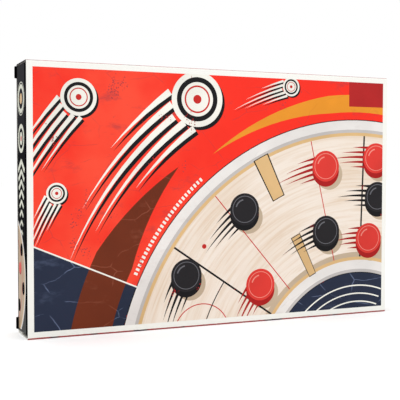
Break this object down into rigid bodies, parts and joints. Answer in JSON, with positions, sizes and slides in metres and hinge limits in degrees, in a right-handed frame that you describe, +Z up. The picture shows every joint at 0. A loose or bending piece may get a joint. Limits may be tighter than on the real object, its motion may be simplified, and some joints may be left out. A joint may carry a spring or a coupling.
{
  "type": "boxed sling puck game",
  "caption": "Boxed tabletop sling puck game: printed card sleeve, sliding card tray, wooden board with gated divider, elastic slings and pucks.",
  "frame": {"origin": "middle of the base that the box stands on, on its long edge", "axes": "+X along the box's length to the right of the printed front, +Y from the printed front to the back, +Z up"},
  "size_m": [0.3664, 0.04, 0.235],
  "materials": {
    "printed_card": "printed and varnished card, cream border",
    "dark_card": "matt printed card, pale raw edges",
    "leaflet_paper": "uncoated paper",
    "limed_wood": "limed pale wood, sealed",
    "pine": "clear lacquered pine",
    "panel_wood": "printed and lacquered plywood",
    "black_elastic": "braided elastic cord",
    "black_puck": "lacquered, semi-gloss",
    "red_puck": "lacquered, semi-gloss",
    "steel": "zinc plated",
    "foot_rubber": "matt"
  },
  "bodies": {
    "sleeve": {"carton_sleeve": "printed_card"},
    "tray": {"game_tray": "dark_card", "instruction_leaflet": "leaflet_paper", "play_panel": "panel_wood", "side_rail_upper": "limed_wood", "side_rail_lower": "limed_wood", "end_rail_left": "pine", "end_rail_right": "pine", "centre_divider": "pine", "frame_screw_upper_left": "steel", "frame_screw_upper_middle": "steel", "frame_screw_upper_right": "steel", "frame_screw_lower_left": "steel", "frame_screw_lower_middle": "steel", "frame_screw_lower_right": "steel", "foot_upper_left": "foot_rubber", "foot_upper_right": "foot_rubber", "foot_lower_left": "foot_rubber", "foot_lower_right": "foot_rubber", "sling_left_upper": "black_elastic", "sling_left_lower": "black_elastic", "sling_left_upper_knot": "black_elastic", "sling_left_lower_knot": "black_elastic", "sling_right_upper": "black_elastic", "sling_right_lower": "black_elastic", "sling_right_upper_knot": "black_elastic", "sling_right_lower_knot": "black_elastic"},
    "sling_left": {"sling_left_grip": "black_elastic"},
    "sling_right": {"sling_right_grip": "black_elastic"},
    "black_1": {"puck_black_1": "black_puck"},
    "black_2": {"puck_black_2": "black_puck"},
    "black_3": {"puck_black_3": "black_puck"},
    "black_4": {"puck_black_4": "black_puck"},
    "black_5": {"puck_black_5": "black_puck"},
    "red_1": {"puck_red_1": "red_puck"},
    "red_2": {"puck_red_2": "red_puck"},
    "red_3": {"puck_red_3": "red_puck"},
    "red_4": {"puck_red_4": "red_puck"},
    "red_5": {"puck_red_5": "red_puck"}
  },
  "joints": [
    {"name": "tray_slide", "type": "slide", "parent": "sleeve", "child": "tray", "axis": [-1, 0, 0], "range_m": [0, 0.372]},
    {"name": "sling_left_draw", "type": "slide", "parent": "tray", "child": "sling_left", "axis": [-1, 0, 0], "range_m": [0, 0.026], "stiffness_N_per_m": 100, "deforming": ["sling_left_upper", "sling_left_lower"]},
    {"name": "sling_right_draw", "type": "slide", "parent": "tray", "child": "sling_right", "axis": [1, 0, 0], "range_m": [0, 0.026], "stiffness_N_per_m": 100, "deforming": ["sling_right_upper", "sling_right_lower"]},
    {"name": "puck_black_1_slide", "type": "slide", "parent": "tray", "child": "black_1", "axis": [1, 0, 0], "range_m": [-0.036, 0.0588]},
    {"name": "puck_black_2_slide", "type": "slide", "parent": "tray", "child": "black_2", "axis": [1, 0, 0], "range_m": [-0.0664, 0.0284]},
    {"name": "puck_black_3_slide", "type": "slide", "parent": "tray", "child": "black_3", "axis": [1, 0, 0], "range_m": [-0.0455, 0.1363]},
    {"name": "puck_black_4_slide", "type": "slide", "parent": "tray", "child": "black_4", "axis": [1, 0, 0], "range_m": [-0.0797, 0.0151]},
    {"name": "puck_black_5_slide", "type": "slide", "parent": "tray", "child": "black_5", "axis": [1, 0, 0], "range_m": [-0.0246, 0.0702]},
    {"name": "puck_red_1_slide", "type": "slide", "parent": "tray", "child": "red_1", "axis": [1, 0, 0], "range_m": [-0.0227, 0.0721]},
    {"name": "puck_red_2_slide", "type": "slide", "parent": "tray", "child": "red_2", "axis": [1, 0, 0], "range_m": [-0.0626, 0.0322]},
    {"name": "puck_red_3_slide", "type": "slide", "parent": "tray", "child": "red_3", "axis": [1, 0, 0], "range_m": [-0.0107, 0.0094]},
    {"name": "puck_red_4_slide", "type": "slide", "parent": "tray", "child": "red_4", "axis": [1, 0, 0], "range_m": [-0.0379, 0.0569]},
    {"name": "puck_red_5_slide", "type": "slide", "parent": "tray", "child": "red_5", "axis": [1, 0, 0], "range_m": [-0.0113, 0.0835]}
  ]
}
